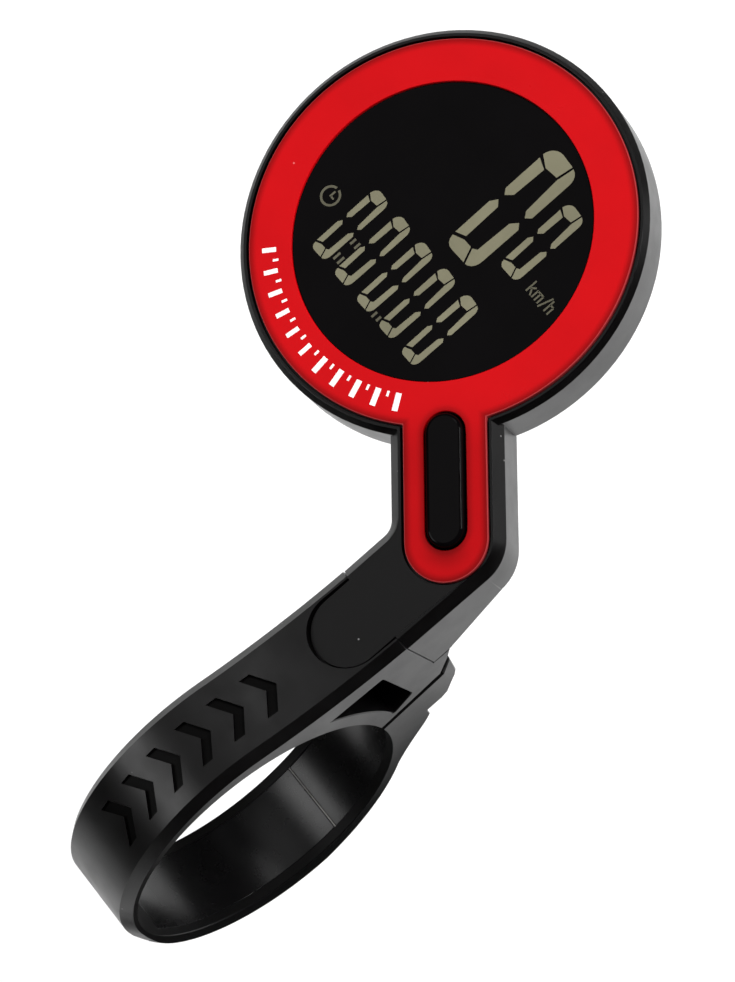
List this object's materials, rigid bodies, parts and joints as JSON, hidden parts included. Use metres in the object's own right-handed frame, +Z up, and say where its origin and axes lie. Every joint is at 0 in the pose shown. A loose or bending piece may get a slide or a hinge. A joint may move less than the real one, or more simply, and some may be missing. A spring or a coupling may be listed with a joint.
{
  "type": "cycling computer",
  "caption": "Round cycle computer with a digital display, a side-mounted mode button and a bent arm that slides into an out-front handlebar clamp with an opening jaw.",
  "frame": {"origin": "centre of the handlebar clamp bore, half way along the clamp's width", "axes": "+X along the handlebar to the rider's right, +Y forward along the bracket's arm, +Z up, square to the display"},
  "size_m": [0.053, 0.0927, 0.0367],
  "materials": {
    "board_green": "solder mask",
    "bracket_black": "fine satin",
    "button_black": "gloss",
    "case_black": "fine satin",
    "cell_steel": "bright",
    "ceramic_tan": "glazed",
    "chip_black": "moulded epoxy",
    "frame_white": "matte",
    "insert_brass": "turned",
    "lcd_glass": "gloss",
    "polarizer_dark": "gloss",
    "red_anodised": "satin anodised",
    "reflector_grey": "satin",
    "rubber_black": "matte",
    "screw_black": "black oxide",
    "silicone_grey": "matte",
    "spring_steel": "bright",
    "switch_steel": "satin",
    "window_clear": "gloss"
  },
  "bodies": {
    "bracket": {"bracket_body": "bracket_black", "clamp_nut": "insert_brass", "liner_upper": "rubber_black"},
    "jaw": {"clamp_jaw": "bracket_black", "liner_rear": "rubber_black", "liner_front": "rubber_black", "clamp_washer": "switch_steel"},
    "screw": {"clamp_bolt": "screw_black"},
    "computer": {"upper_case": "case_black", "lower_case": "case_black", "face_plate": "red_anodised", "display_lens": "window_clear", "lcd_front_polarizer": "polarizer_dark", "lcd_front_glass": "lcd_glass", "lcd_rear_glass": "lcd_glass", "lcd_reflector": "reflector_grey", "lcd_frame": "frame_white", "zebra_connector": "silicone_grey", "main_pcb": "board_green", "mcu_chip": "chip_black", "clock_crystal": "switch_steel", "antenna_coil": "ceramic_tan", "chip_capacitors": "ceramic_tan", "tact_switch": "switch_steel", "button_boot": "rubber_black", "coin_cell": "cell_steel", "contact_plus": "spring_steel", "contact_minus": "spring_steel", "cover_seal": "rubber_black", "case_gasket": "rubber_black", "case_screws": "screw_black"},
    "button": {"mode_button": "button_black"},
    "plunger": {"switch_plunger": "chip_black"},
    "cover": {"battery_cover": "case_black"}
  },
  "joints": [
    {"name": "computer_slide", "type": "slide", "parent": "bracket", "child": "computer", "axis": [0, 1, 0], "range_m": [0, 0.009]},
    {"name": "mode_button_press", "type": "slide", "parent": "computer", "child": "button", "axis": [0, 0, -1], "range_m": [0, 0.00035], "stiffness_N_per_m": 500},
    {"name": "switch_plunger_press", "type": "slide", "parent": "computer", "child": "plunger", "axis": [0, 0, -1], "range_m": [0, 0.00035]},
    {"name": "battery_cover_twist", "type": "hinge", "parent": "computer", "child": "cover", "pos_m": [-0.02601, 0.05373, 0.0035], "axis": [0, 0, -1], "range_deg": [0, 46]},
    {"name": "clamp_jaw_swing", "type": "hinge", "parent": "bracket", "child": "jaw", "pos_m": [0, -0.01742, 0], "axis": [-1, 0, 0], "range_deg": [0, 60], "stiffness_Nm_per_rad": 0.05, "springref_deg": -2.86},
    {"name": "clamp_bolt_turn", "type": "hinge", "parent": "jaw", "child": "screw", "pos_m": [0, 0.0224, 0], "axis": [0, 0, 1], "continuous": true}
  ],
  "couplings": [
    {"joint": "switch_plunger_press", "follows": "mode_button_press", "ratio": 1}
  ]
}
